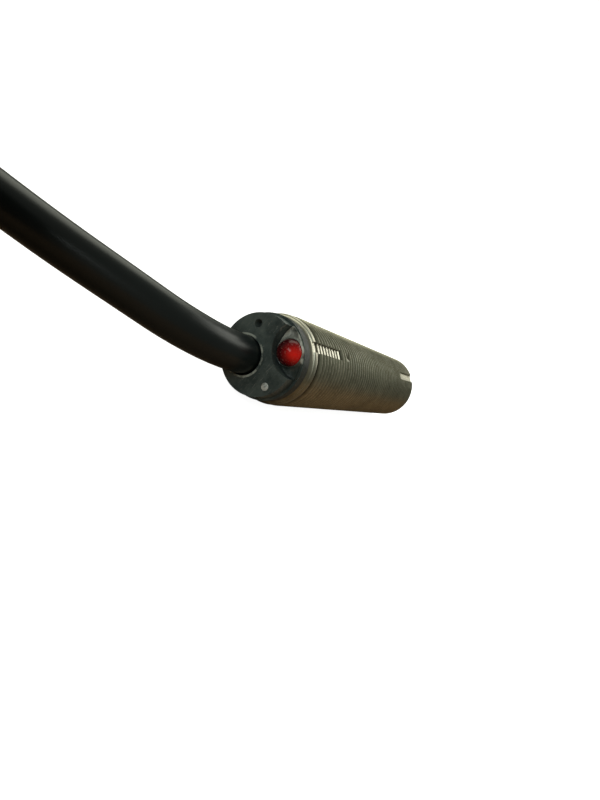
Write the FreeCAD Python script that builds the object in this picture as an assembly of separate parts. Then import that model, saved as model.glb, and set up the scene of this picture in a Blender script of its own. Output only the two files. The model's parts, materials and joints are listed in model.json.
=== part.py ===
import FreeCAD, Part
import math
import os
from FreeCAD import Vector, Rotation, Placement

# Inductive proximity sensor in an M12 x 1 threaded barrel, lying on its side with its cable.
# Millimetres. +Y runs along the barrel from the cable end to the sensing face, +Z is up,
# z = 0 is the surface it lies on, and the origin is below the middle of the barrel.
# "s" is the distance from the rear face of the cap, measured along the barrel.

os.makedirs("parts", exist_ok=True)

# ---- driving dimensions: barrel
LENGTH = 55.5             # rear face of the cap to the sensing face
THREAD_R = 6.0            # M12 crest radius
PITCH = 1.0               # fine thread
THREAD_DEPTH = 0.6
CREST_WIDTH = 0.2
BORE_R = 4.9
BARREL_START_S = 3.5      # the metal starts behind the cap's flange
THREAD_START_S = 5.62     # a relief groove runs from the collar to here
THREAD_TURNS = 49
BARREL_END_S = 55.3
KEYWAY_WIDTH = 1.4        # two shallow flats milled along the thread, in one line
KEYWAY_DEPTH = 0.45
KEYWAY_ANGLE = 34.7       # from straight up, towards +X
KEYWAY_REAR = (5.3, 13.6)
KEYWAY_FRONT = (45.7, 56.5)
KEYWAY_CLEARANCE = 2.0    # how far the cutter stands above the flat
PUNCH_S = 16.0            # small punched pit in line with the keyways
PUNCH_R = 0.5
PUNCH_DEPTH = 0.45
COLLAR = [                # (s after the barrel's start, radius)
    (0.0, 5.35),
    (0.3, 5.65),
    (0.6, 5.7),
    (0.7, 5.8),
    (1.35, 5.92),
    (1.5, 5.8),
]
FRONT_CHAMFER = (0.45, 0.1)

# ---- driving dimensions: rear cap, places as (x, z) from the barrel's axis
BOSS_R = 5.15
FLANGE_R = 5.5
FLANGE_S = 1.9            # the boss stands this far behind the flange
PLUG_END_S = 8.0
PLUG_R = BORE_R - 0.02
CABLE_AT = (-1.35, -1.25)
CABLE_HOLE_R = 2.5
LENS_AT = (2.48, 2.68)
LENS_R = 1.8
LENS_DOME_R = 1.68
LENS_COLLAR_S = 1.7
LENS_STEM_R = 1.1
LENS_STEM_END_S = 4.6
LAMP_S = (4.65, 5.6)
LAMP_R = 1.05
LAMP_LEG_R = 0.22
LAMP_LEG_SPACING = 0.9
POCKET_AT = (3.97, 4.08)
POCKET_R = 3.7
RESIN_DEPTH = 0.22
VENT_AT = (-2.47, 2.86)
PLUGHOLE_AT = (3.5, -2.1)
SMALL_HOLE_R = 0.52
SMALL_HOLE_DEPTH = 1.4
CAP_HOLLOW = (6.0, 4.3)   # start s and radius of the hollow behind the cap's wall
CRIMP_S = (6.3, 7.8)
CRIMP_R = 2.85
STUB_S = (3.5, 8.8)       # the end of the jacket, gripped inside the cap

# ---- driving dimensions: sensing head
FACE_THICKNESS = 1.0
FACE_SKIRT_START_S = 46.5
FACE_SKIRT_BORE_R = 4.55
SHIELD_R = 4.5
CORE_R = 4.2
CORE_START_S = 49.7
CORE_LENGTH = 4.7
CORE_FLOOR = 1.2
CORE_WALL = 0.7
CORE_POST_R = 1.6
CORE_HOLE_R = 0.5
BOBBIN_FLANGE = 0.35
BOBBIN_R = 3.45
BOBBIN_HUB_R = 2.0
WINDING_R = 3.35
HOLDER_OVERLAP = 2.5      # how far the carrier takes in the end of the board

# ---- driving dimensions: circuit, pieces as (start s, length, middle x, width, height)
BOARD = (10.5, 37.0, 0.8)  # start s, length, thickness
BOARD_WIDTH = 7.6
SEAT = 0.02               # clearance left round a seated piece
OSCILLATOR = (31.0, 4.9, 0.0, 3.9, 1.45)
OSCILLATOR_LIFT = 0.1
LEG_START_S = 31.55
LEG_PITCH = 1.1
LEG = (0.4, 1.08, 0.1)    # width, length, thickness
TRANSISTOR = (20.0, 4.5, 0.0, 2.5, 1.5)
TRANSISTOR_TAB = (21.5, 1.6, 1.75, 1.0, 0.4)
DIODE = (15.4, 2.6, -1.0, 4.3, 2.1)
RESERVOIR = (24.0, 6.0, 0.0, 3.2, 2.5)
RESISTOR = (1.25, 2.0, 0.5)   # width, length, height
CAPACITOR = (1.25, 2.0, 0.9)
RESISTOR_PLACES = [(25.8, -2.0), (25.8, 1.6), (28.2, -2.0), (28.2, 1.6), (37.6, -2.0), (39.8, 1.8)]
CAPACITOR_PLACES = [(37.6, 1.8), (39.8, -2.0), (42.0, 0.0)]
WINDING_WIRE_R = 0.1

# ---- driving dimensions: cable
CABLE_R = 2.4
CABLE_LENGTH = 2000.0
WIRE_R = 0.65
STRAND_R = 0.33
COIL_CENTRE = (-25.3, -95.6)
COIL_MID_R = 24.0
COIL_STEP = 4.9           # from one turn to the next, sideways and upwards
COIL_COLUMNS = 3
COIL_LAYERS = 5
TIE_ANGLE = 60.0
TIE_WIDTH = 8.0
TIE_THICKNESS = 0.8
CABLE_ROUTE = [           # from inside the cap to the outer turn of the coil
    (-1.35, -24.25, 4.75),
    (-1.35, -30.55, 4.75),
    (-4.4, -37.25, 4.8),
    (-9.0, -41.85, 4.9),
    (-16.4, -47.95, 4.75),
    (-27.4, -54.75, 4.7),
    (-39.3, -65.2, 3.2),
    (-49.0, -79.0, 2.4),
]
TAIL_START = 0.0          # the last turn lies alone on the coil's inner edge
TAIL_END = 95.0
TAIL_STEP = 15.0
TAIL_DROP = (3.6, 2.0)    # how far out the tail still is, two steps and one step before its start
WIRE_LENGTH = 26.0        # bared of the jacket, without the tinned tips
TIP_LENGTH = 5.0
CORE_OFFSETS = [(0.0, 0.95), (-0.82, -0.47), (0.82, -0.47)]
CORE_NAMES = ["brown", "blue", "black"]
CORE_PADS = [0.0, -2.6, 2.4]
PAD_S = 12.6
FLYING_SEATS = [(1.0, 0.5), (0.0, -0.9), (-1.0, 0.5)]  # sideways and up, at the jacket's end
FLYING_FAN = [            # share of the length, sideways spread, share of the drop to the coil
    (0.0, 0.85, 0.0),
    (0.2, 1.1, 0.5),
    (0.45, 1.5, 1.0),
    (0.7, 1.6, 1.0),
    (1.0, 1.55, 1.0),
]
FLYING_STAGGER = 1.2

AXIS_Z = THREAD_R
REAR_Y = -LENGTH / 2
ALONG = Vector(0, 1, 0)


def y_of(s):
    """Row Y of a place s from the rear face."""
    return REAR_Y + s


def at(s, place=(0.0, 0.0)):
    """A point s from the rear face, at (x, z) from the barrel's axis."""
    return Vector(place[0], y_of(s), AXIS_Z + place[1])


def rod(start_s, end_s, radius, place=(0.0, 0.0)):
    """A solid round bar along the barrel."""
    return Part.makeCylinder(radius, end_s - start_s, at(start_s, place), ALONG)


def tube(start_s, end_s, outer, inner, place=(0.0, 0.0)):
    """A hollow round bar along the barrel."""
    return rod(start_s, end_s, outer, place).cut(rod(start_s - 1, end_s + 1, inner, place))


def bar(start, end, radius):
    """A straight round wire from one point to another."""
    run = end.sub(start)
    return Part.makeCylinder(radius, run.Length, start, run)


def block(start_s, size_s, centre_x, size_x, low_z, size_z):
    """A box given by its start and length along s, its middle across, and its foot above the axis."""
    corner = Vector(centre_x - size_x / 2, y_of(start_s), AXIS_Z + low_z)
    return Part.makeBox(size_x, size_s, size_z, corner)


def turned(profile):
    """Revolve an outline of (s, radius) points about the barrel's axis."""
    points = [Vector(radius, y_of(s), AXIS_Z) for s, radius in profile]
    wire = Part.makePolygon(points + points[:1])
    return Part.Face(wire).revolve(at(0), ALONG, 360)


def save(shape, node):
    """Write one sub-part."""
    shape.exportStep("parts/" + node + ".step")


def group(shapes):
    """Separate solids that share one node."""
    return Part.makeCompound(shapes)


# ---- barrel

def thread_outline():
    """The ridges as annular rings: foot, flank, crest land, flank."""
    flank = (PITCH - 2 * CREST_WIDTH) / 2
    root = THREAD_R - THREAD_DEPTH
    points = []
    for turn in range(THREAD_TURNS):
        start = THREAD_START_S + turn * PITCH
        points += [
            (start, root),
            (start + flank, THREAD_R),
            (start + flank + CREST_WIDTH, THREAD_R),
            (start + PITCH - CREST_WIDTH, root),
        ]
    return points


def keyway(span):
    """The cutter that mills one shallow flat-bottomed slot."""
    start, end = span
    floor = THREAD_R - KEYWAY_DEPTH
    cutter = Part.makeBox(
        KEYWAY_WIDTH, end - start, KEYWAY_CLEARANCE, Vector(-KEYWAY_WIDTH / 2, y_of(start), AXIS_Z + floor)
    )
    cutter.rotate(at(0), ALONG, KEYWAY_ANGLE)
    return cutter


def barrel():
    root = THREAD_R - THREAD_DEPTH
    chamfer, slope = FRONT_CHAMFER
    collar = [(BARREL_START_S + along, radius) for along, radius in COLLAR]
    collar = [(BARREL_START_S, BORE_R)] + collar + [(collar[-1][0], root)]
    front = [
        (THREAD_START_S + THREAD_TURNS * PITCH, root),
        (BARREL_END_S - chamfer, root + slope),
        (BARREL_END_S, root - slope),
        (BARREL_END_S, BORE_R),
    ]
    shell = turned(collar + thread_outline() + front)
    foot = Vector(0, y_of(PUNCH_S), AXIS_Z + THREAD_R - PUNCH_DEPTH)
    punch = Part.makeCylinder(PUNCH_R, KEYWAY_CLEARANCE, foot, Vector(0, 0, 1))
    punch.rotate(at(0), ALONG, KEYWAY_ANGLE)
    return shell.cut(keyway(KEYWAY_REAR)).cut(keyway(KEYWAY_FRONT)).cut(punch)


# ---- rear cap and indicator

def pocket(start_s, end_s):
    """The scooped space round the indicator lens."""
    return rod(start_s, end_s, POCKET_R, POCKET_AT)


def rear_cap():
    boss = rod(0, FLANGE_S, BOSS_R)
    boss = boss.cut(pocket(-1, FLANGE_S))
    flange = rod(FLANGE_S, BARREL_START_S, FLANGE_R)
    plug = rod(BARREL_START_S, PLUG_END_S, PLUG_R)
    hollow = rod(CAP_HOLLOW[0], PLUG_END_S + 1, CAP_HOLLOW[1])
    cap = boss.fuse(flange).fuse(plug).removeSplitter().cut(hollow)
    cap = cap.cut(rod(-1, PLUG_END_S, CABLE_HOLE_R, CABLE_AT))
    cap = cap.cut(rod(-1, PLUG_END_S, LENS_STEM_R + SEAT, LENS_AT))
    for place in (VENT_AT, PLUGHOLE_AT):
        cap = cap.cut(rod(-1, SMALL_HOLE_DEPTH, SMALL_HOLE_R, place))
    return cap


def indicator_lens():
    """Domed lens with a collar and a thinner stem that reaches the lamp."""
    dome = Part.makeSphere(LENS_DOME_R, at(LENS_COLLAR_S, LENS_AT))
    dome = dome.common(rod(-1, LENS_COLLAR_S, LENS_R, LENS_AT))
    collar = rod(LENS_COLLAR_S, FLANGE_S, LENS_R, LENS_AT)
    stem = rod(FLANGE_S, LENS_STEM_END_S, LENS_STEM_R, LENS_AT)
    return dome.fuse(collar).fuse(stem)


def pocket_resin():
    """Cast resin that lies round the lens on the pocket's floor."""
    pool = pocket(FLANGE_S - RESIN_DEPTH, FLANGE_S).common(rod(0, FLANGE_S, FLANGE_R - 0.1))
    return pool.cut(rod(-1, FLANGE_S + 1, LENS_R, LENS_AT))


# ---- sensing head

def sensing_face():
    disc = rod(LENGTH - FACE_THICKNESS, LENGTH, PLUG_R)
    skirt = tube(FACE_SKIRT_START_S, LENGTH - FACE_THICKNESS, PLUG_R, FACE_SKIRT_BORE_R)
    return disc.fuse(skirt)


def shield_ring():
    start = FACE_SKIRT_START_S + 0.5
    return tube(start, LENGTH - FACE_THICKNESS - 0.05, SHIELD_R, CORE_R + 0.05)


def pot_core():
    end = CORE_START_S + CORE_LENGTH
    trough = tube(CORE_START_S + CORE_FLOOR, end + 1, CORE_R - CORE_WALL, CORE_POST_R)
    cup = rod(CORE_START_S, end, CORE_R).cut(trough)
    return cup.cut(rod(CORE_START_S - 1, end + 1, CORE_HOLE_R))


BOBBIN_START_S = CORE_START_S + CORE_FLOOR + 0.05
BOBBIN_END_S = CORE_START_S + CORE_LENGTH - 0.1
BOBBIN_BORE_R = CORE_POST_R + 0.05


def bobbin():
    hub = tube(BOBBIN_START_S, BOBBIN_END_S, BOBBIN_HUB_R, BOBBIN_BORE_R)
    for start in (BOBBIN_START_S, BOBBIN_END_S - BOBBIN_FLANGE):
        hub = hub.fuse(tube(start, start + BOBBIN_FLANGE, BOBBIN_R, BOBBIN_BORE_R))
    return hub.removeSplitter()


def winding():
    edge = BOBBIN_FLANGE + SEAT
    return tube(BOBBIN_START_S + edge, BOBBIN_END_S - edge, WINDING_R, BOBBIN_HUB_R + SEAT)


BOARD_TOP = BOARD[2] / 2
BOARD_END_S = BOARD[0] + BOARD[1]
HOLDER_START_S = BOARD_END_S - HOLDER_OVERLAP


def core_holder():
    """Plastic carrier behind the core, slotted for the end of the board."""
    body = rod(HOLDER_START_S, CORE_START_S - 0.05, CORE_R)
    length = HOLDER_OVERLAP + 0.5 + SEAT
    slot = block(HOLDER_START_S - 0.5, length, 0, BOARD_WIDTH + 2, -BOARD_TOP - SEAT, BOARD[2] + 2 * SEAT)
    return body.cut(slot)


# ---- circuit

def on_board(piece, lift=SEAT):
    """A block standing on the board's upper side."""
    start, length, middle, width, height = piece
    return block(start, length, middle, width, BOARD_TOP + lift, height)


def under_board(piece):
    """A block hanging from the board's lower side."""
    start, length, middle, width, height = piece
    return block(start, length, middle, width, -BOARD_TOP - SEAT - height, height)


def circuit_board():
    start, length, thickness = BOARD
    return block(start, length, 0, BOARD_WIDTH, -thickness / 2, thickness)


def chip_legs():
    """Eight flat legs, four a side."""
    width, length, thickness = LEG
    middle = OSCILLATOR[3] / 2 + length / 2 + SEAT / 2
    legs = []
    for side in (-1, 1):
        for leg in range(4):
            start = LEG_START_S + leg * LEG_PITCH
            legs.append(block(start, width, side * middle, length, BOARD_TOP, thickness))
    return group(legs)


def output_transistor():
    return on_board(TRANSISTOR).fuse(on_board(TRANSISTOR_TAB))


def chip_row(places, size):
    """Small two-terminal chips laid across the board."""
    width, length, height = size
    return group([on_board((start, width, x, length, height)) for start, x in places])


def winding_wires():
    """The two ends of the winding, brought back through the core to the board."""
    wires = []
    for side in (-1, 1):
        start = at(CORE_START_S - 0.06, (side * 0.25, 0.9))
        end = at(BOARD_END_S - 1.7, (side * 2.4, BOARD_TOP + WINDING_WIRE_R + SEAT))
        wires.append(bar(end, start, WINDING_WIRE_R))
    return group(wires)


def lamp_legs():
    """Two legs from the lamp behind the lens down to the board."""
    legs = []
    for side in (-0.5, 0.5):
        x = LENS_AT[0] + side * LAMP_LEG_SPACING
        start = at(LAMP_S[1] + SEAT, (x, LENS_AT[1]))
        end = at(BOARD[0] + 0.7, (x - 0.4, BOARD_TOP + LAMP_LEG_R + 2 * SEAT))
        legs.append(bar(start, end, LAMP_LEG_R))
    return group(legs)


def potting(parts_inside):
    """The resin that fills the barrel, with every inner piece standing in it."""
    fill = rod(PLUG_END_S + SEAT, HOLDER_START_S - SEAT, PLUG_R)
    return fill.cut(group(parts_inside)).Solids[0]


# ---- cable

def crimp_ring():
    start, end = CRIMP_S
    ring_in_hollow = rod(start, end, CAP_HOLLOW[1] - SEAT)
    return tube(start, end, CRIMP_R, CABLE_R, CABLE_AT).common(ring_in_hollow)


def inner_wire(offset, pad_x):
    start = at(STUB_S[1] + SEAT, (CABLE_AT[0] + offset[0], CABLE_AT[1] + offset[1]))
    return bar(start, at(PAD_S, (pad_x, -BOARD_TOP - WIRE_R - 0.35)), WIRE_R * 0.8)


def rounded_path(points):
    """Straight runs joined by tangent arcs as large as the runs allow. Also gives the arc radii."""
    edges, radii = [], []
    here = points[0]
    for before, corner, after in zip(points, points[1:], points[2:]):
        back = before.sub(corner)
        ahead = after.sub(corner)
        setback = 0.45 * min(back.Length, ahead.Length)
        back.normalize()
        ahead.normalize()
        half_turn = (math.pi - back.getAngle(ahead)) / 2
        radius = setback / math.tan(half_turn)
        start = corner.add(Vector(back).multiply(setback))
        end = corner.add(Vector(ahead).multiply(setback))
        middle_line = back.add(ahead)
        middle_line.normalize()
        to_arc = radius / math.cos(half_turn) - radius
        middle = corner.add(middle_line.multiply(to_arc))
        edges.append(Part.LineSegment(here, start).toShape())
        edges.append(Part.Arc(start, middle, end).toShape())
        radii.append(radius)
        here = end
    edges.append(Part.LineSegment(here, points[-1]).toShape())
    return Part.Wire(edges), radii


def swept(points, radius, name):
    """A round cord along a rounded path. Prints its radii and checks its volume."""
    path, radii = rounded_path(points)
    direction = points[1].sub(points[0])
    circle = Part.Wire(Part.Circle(points[0], direction, radius).toShape())
    cord = path.makePipeShell([circle], True, False)
    expected = math.pi * radius ** 2 * path.Length
    print(
        name,
        "length", round(path.Length, 1),
        "radii", [round(r, 1) for r in radii],
        "volume ratio", round(cord.Volume / expected, 4),
    )
    return cord, path.Length


def coil_point(angle, radius, height):
    turn = math.radians(angle)
    return Vector(
        COIL_CENTRE[0] + radius * math.cos(turn), COIL_CENTRE[1] + radius * math.sin(turn), height
    )


COIL_TOP = CABLE_R * 2 + (COIL_LAYERS - 1) * COIL_STEP
COIL_HALF_WIDTH = (COIL_COLUMNS - 1) / 2 * COIL_STEP + CABLE_R
TAIL_R = COIL_MID_R - COIL_STEP
TAIL_Z = COIL_TOP - CABLE_R


def ring(outer, inner, low, high):
    """A flat-topped ring about the coil's centre, or a disc if it has no inner radius."""
    centre = Vector(COIL_CENTRE[0], COIL_CENTRE[1], low)
    disc = Part.makeCylinder(outer, high - low, centre)
    if not inner:
        return disc
    return disc.cut(Part.makeCylinder(inner, high - low, centre))


def tie_box(grow):
    """A block across the ring where the tie goes round it."""
    inner = COIL_MID_R - COIL_HALF_WIDTH - grow
    length = 2 * (COIL_HALF_WIDTH + grow)
    low = TIE_THICKNESS - grow
    high = COIL_TOP + grow
    box = Part.makeBox(length, TIE_WIDTH, high - low, Vector(inner, -TIE_WIDTH / 2, low))
    turn = Rotation(Vector(0, 0, 1), TIE_ANGLE)
    box.Placement = Placement(Vector(COIL_CENTRE[0], COIL_CENTRE[1], 0), turn)
    return box


def cable_coil():
    """The outer shape of the wound cable, relieved where the tie passes under it."""
    whole = ring(COIL_MID_R + COIL_HALF_WIDTH, COIL_MID_R - COIL_HALF_WIDTH, 0, COIL_TOP)
    relief = tie_box(TIE_THICKNESS + 2).cut(tie_box(0))
    last_turn = ring(TAIL_R + CABLE_R + 0.05, 0, COIL_TOP - COIL_STEP, COIL_TOP + 1)
    return whole.cut(relief).cut(last_turn)


def tail_points():
    """The last turn of the cable, dropping inwards off the coil's middle column."""
    early, late = TAIL_DROP
    points = [coil_point(TAIL_START - 2 * TAIL_STEP, TAIL_R + early, TAIL_Z)]
    points.append(coil_point(TAIL_START - TAIL_STEP, TAIL_R + late, TAIL_Z))
    steps = round((TAIL_END - TAIL_START) / TAIL_STEP)
    for step in range(steps + 1):
        angle = TAIL_START + (TAIL_END - TAIL_START) * step / steps
        points.append(coil_point(angle, TAIL_R, TAIL_Z))
    return points


def coil_tie():
    return tie_box(TIE_THICKNESS).cut(tie_box(SEAT))


def flying_wires():
    """Three insulated wires that follow the coil's edge past the end of the jacket."""
    seat_z = TAIL_Z - CABLE_R + WIRE_R + 0.1
    wires, tips = [], []
    for spread, lift in FLYING_SEATS:
        reach = math.degrees((WIRE_LENGTH + FLYING_STAGGER * spread) / TAIL_R)
        start_z = TAIL_Z + lift
        route = []
        for share, sideways, drop in FLYING_FAN:
            height = start_z + (seat_z - start_z) * drop
            angle = TAIL_END + 0.1 + reach * share
            route.append(coil_point(angle, TAIL_R + spread * sideways, height))
        wire, _ = swept(route, WIRE_R, "flying wire")
        wires.append(wire)
        last = route[-1].sub(route[-2])
        last.normalize()
        tips.append(Part.makeCylinder(STRAND_R, TIP_LENGTH, route[-1], last))
    return wires, group(tips)


def main():
    save(barrel(), "threaded_barrel")
    save(rear_cap(), "rear_cap")
    save(indicator_lens(), "indicator_lens")
    save(pocket_resin(), "lens_pocket_resin")
    save(rod(0.12, SMALL_HOLE_DEPTH, SMALL_HOLE_R, PLUGHOLE_AT), "fill_hole_plug")
    save(sensing_face(), "sensing_face_cap")
    save(shield_ring(), "shield_ring")
    save(pot_core(), "ferrite_pot_core")
    save(bobbin(), "coil_bobbin")
    save(winding(), "coil_winding")
    save(core_holder(), "core_holder")

    inner = {
        "circuit_board": circuit_board(),
        "oscillator_chip": on_board(OSCILLATOR, OSCILLATOR_LIFT),
        "oscillator_chip_legs": chip_legs(),
        "output_transistor": output_transistor(),
        "protection_diode": under_board(DIODE),
        "chip_resistors": chip_row(RESISTOR_PLACES, RESISTOR),
        "chip_capacitors": chip_row(CAPACITOR_PLACES, CAPACITOR),
        "reservoir_capacitor": under_board(RESERVOIR),
        "lamp_legs": lamp_legs(),
        "cable_stub": rod(STUB_S[0], STUB_S[1], CABLE_R, CABLE_AT),
    }
    for name, offset, pad in zip(CORE_NAMES, CORE_OFFSETS, CORE_PADS):
        inner["inner_wire_" + name] = inner_wire(offset, pad)
    for name, shape in inner.items():
        save(shape, name)
    save(rod(LAMP_S[0], LAMP_S[1], LAMP_R, LENS_AT), "red_lamp")
    save(winding_wires(), "winding_wires")
    save(crimp_ring(), "cable_crimp_ring")
    save(potting(list(inner.values())), "potting_resin")

    route = [Vector(*point) for point in CABLE_ROUTE]
    cable, cable_length = swept(route, CABLE_R, "cable")
    save(cable, "cable_tube")
    save(cable_coil(), "cable_coil")
    save(coil_tie(), "coil_tie")
    tail, tail_length = swept(tail_points(), CABLE_R, "cable tail")
    save(tail, "cable_tail")
    wires, tips = flying_wires()
    for name, wire in zip(CORE_NAMES, wires):
        save(wire, "flying_wire_" + name)
    save(tips, "tinned_wire_tips")
    in_coil = CABLE_LENGTH - cable_length - tail_length
    print("turns in the coil", round(in_coil / (2 * math.pi * COIL_MID_R), 2))


main()
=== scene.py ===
"""Looks of the proximity sensor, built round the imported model. Metres; +Y runs along the barrel."""
import json
import math

import bmesh
import bpy
from mathutils import Matrix, Vector


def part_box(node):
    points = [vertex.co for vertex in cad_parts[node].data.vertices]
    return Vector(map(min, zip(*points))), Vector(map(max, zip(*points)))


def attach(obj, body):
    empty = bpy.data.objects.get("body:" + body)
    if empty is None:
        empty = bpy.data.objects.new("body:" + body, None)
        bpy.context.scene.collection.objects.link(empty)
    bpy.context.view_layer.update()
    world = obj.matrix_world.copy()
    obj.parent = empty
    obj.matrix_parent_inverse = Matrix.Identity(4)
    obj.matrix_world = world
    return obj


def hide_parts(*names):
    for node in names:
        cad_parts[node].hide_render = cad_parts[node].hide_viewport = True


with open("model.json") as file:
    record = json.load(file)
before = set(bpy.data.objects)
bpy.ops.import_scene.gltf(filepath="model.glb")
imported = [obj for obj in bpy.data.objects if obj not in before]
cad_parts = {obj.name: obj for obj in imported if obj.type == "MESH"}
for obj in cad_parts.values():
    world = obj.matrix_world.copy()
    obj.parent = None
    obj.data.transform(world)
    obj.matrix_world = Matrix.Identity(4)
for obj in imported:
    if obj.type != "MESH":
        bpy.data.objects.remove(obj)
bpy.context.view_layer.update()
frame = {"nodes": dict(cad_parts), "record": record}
nodes = frame["nodes"]

# ---- sizes, in millimetres until a mesh is made
MM = 0.001
REAR_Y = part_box("rear_cap")[0].y / MM
FRONT_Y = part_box("sensing_face_cap")[1].y / MM
AXIS_Z = (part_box("threaded_barrel")[0].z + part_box("threaded_barrel")[1].z) / 2 / MM
THREAD_R = (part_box("threaded_barrel")[1].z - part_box("threaded_barrel")[0].z) / 2 / MM
LENGTH = FRONT_Y - REAR_Y
PITCH = 1.0
THREAD_DEPTH = 0.6
BORE_R = 4.9
BARREL_START_S = 3.5
THREAD_START_S = 5.62
BARREL_END_S = 55.3
KEYWAY_WIDTH = 1.4
KEYWAY_DEPTH = 0.45
KEYWAY_ANGLE = 34.7
KEYWAY_REAR = (4.1, 13.6)
KEYWAY_FRONT = (45.7, 60.0)
KEYWAY_RUN_OUT = 0.7      # the length over which a slot rises to nothing
PUNCH_S = 16.0
PUNCH_R = 0.62            # the full reach of the soft dent
PUNCH_DEPTH = 0.5
BOSS_R = 5.15
FLANGE_R = 5.5
FLANGE_S = 1.9
PLUG_END_S = 8.0
PLUG_R = BORE_R - 0.02
CAP_HOLLOW_S = PLUG_END_S - 2
CAP_HOLLOW_R = 4.3
CAP_EDGE_R = 0.07
CABLE_AT = (-1.35, -1.25)
CABLE_HOLE_R = 2.5
CABLE_LIP = (0.10, 0.32)  # how far the lip stands out, and how wide it is
LENS_AT = (2.48, 2.68)
LENS_R = 1.8
LENS_DOME_R = LENS_R - 0.12
LENS_DOME_S = 1.70        # the middle of the dome's sphere
LENS_STEM_R = 1.1
LENS_STEM_END_S = 4.6
POCKET_AT = (3.97, 4.08)
POCKET_R = 3.7
VENT_AT = (-2.47, 2.86)
PLUGHOLE_AT = (3.5, -2.1)
SMALL_HOLE_R = 0.52
SMALL_HOLE_DEPTH = 1.4
FACE_SKIRT_START_S = 46.5
FACE_SKIRT_BORE_R = 4.55
FACE_THICKNESS = 1.0
CABLE_R = 2.4
COIL_CENTRE = (-25.3, -95.6)
COIL_MID_R = 24.0
COIL_STEP = 4.9
COIL_COLUMN_R = (COIL_MID_R - COIL_STEP, COIL_MID_R, COIL_MID_R + COIL_STEP)
COIL_LAYERS = 5
COIL_TOP = 2 * CABLE_R + (COIL_LAYERS - 1) * COIL_STEP
TIE_ANGLE = 60.0
TIE_WIDTH = 8.0
TIE_THICKNESS = 0.8
TIE_CORNER_R = 2.0


# ---- mesh helpers

def place(s, radius, angle):
    """A point in metres: s from the rear face, radius from the axis, angle from up towards +X."""
    turn = math.radians(angle)
    return Vector((
        radius * math.sin(turn) * MM,
        (REAR_Y + s) * MM,
        (AXIS_Z + radius * math.cos(turn)) * MM,
    ))


def new_object(name, mesh, body="root"):
    piece = bpy.data.objects.new(name, mesh)
    bpy.context.scene.collection.objects.link(piece)
    if body:
        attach(piece, body)
    return piece


def mesh_from(name, verts, faces, smooth_angle=30.0):
    mesh = bpy.data.meshes.new(name)
    mesh.from_pydata([tuple(v) for v in verts], [], faces)
    soften(mesh, smooth_angle)
    return mesh


def soften(mesh, smooth_angle=30.0):
    """Smooth shading, with creases sharper than the angle kept."""
    mesh.validate()
    mesh.shade_smooth()
    mesh.set_sharp_from_angle(angle=math.radians(smooth_angle))
    mesh.update()


def lathe(name, outline, at=(0.0, 0.0), segments=96, closed=True, body="root"):
    """Turn an outline of (s, radius) points about a line along the barrel at (x, z) from its axis."""
    centre = Vector((at[0] * MM, 0, at[1] * MM))
    verts = []
    for s, radius in outline:
        for step in range(segments):
            verts.append(place(s, max(radius, 0.0), 360 * step / segments) + centre)
    count = len(outline)
    faces = []
    for row in range(count if closed else count - 1):
        here, there = row * segments, ((row + 1) % count) * segments
        for step in range(segments):
            onward = (step + 1) % segments
            faces.append((here + step, here + onward, there + onward, there + step))
    mesh = bpy.data.meshes.new(name)
    mesh.from_pydata([tuple(v) for v in verts], [], faces)
    tidy_mesh(mesh)
    soften(mesh)
    return new_object(name, mesh, body)


MERGE_DISTANCE = 1e-7     # metres


def tidy_mesh(mesh):
    """Merge coincident points, drop what collapses, and face everything outwards."""
    work = bmesh.new()
    work.from_mesh(mesh)
    bmesh.ops.remove_doubles(work, verts=work.verts, dist=MERGE_DISTANCE)
    bmesh.ops.dissolve_degenerate(work, edges=work.edges, dist=MERGE_DISTANCE)
    bmesh.ops.recalc_face_normals(work, faces=work.faces)
    work.to_mesh(mesh)
    work.free()


def rod(start_s, end_s, radius, at=(0.0, 0.0), segments=96):
    """A round bar as a loose cutter or building block."""
    outline = [(start_s, 0.0), (start_s, radius), (end_s, radius), (end_s, 0.0)]
    return lathe("block", outline, at, segments, closed=False, body=None)


def combine(target, other, operation):
    """Apply a boolean with a building block, which is then removed."""
    step = target.modifiers.new("combine", "BOOLEAN")
    step.operation = operation
    step.solver = "EXACT"
    step.object = other
    bake_modifiers(target)
    bpy.data.objects.remove(other)


def bake_modifiers(piece):
    graph = bpy.context.evaluated_depsgraph_get()
    mesh = bpy.data.meshes.new_from_object(piece.evaluated_get(graph))
    piece.modifiers.clear()
    piece.data = mesh


def rounded(piece, width):
    """Round every edge sharper than 35 degrees."""
    step = piece.modifiers.new("round", "BEVEL")
    step.width = width * MM
    step.segments = 3
    step.limit_method = "ANGLE"
    step.angle_limit = math.radians(35.0)
    step.harden_normals = False
    step.use_clamp_overlap = True
    bake_modifiers(piece)
    soften(piece.data, 40)


# ---- material helpers

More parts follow.
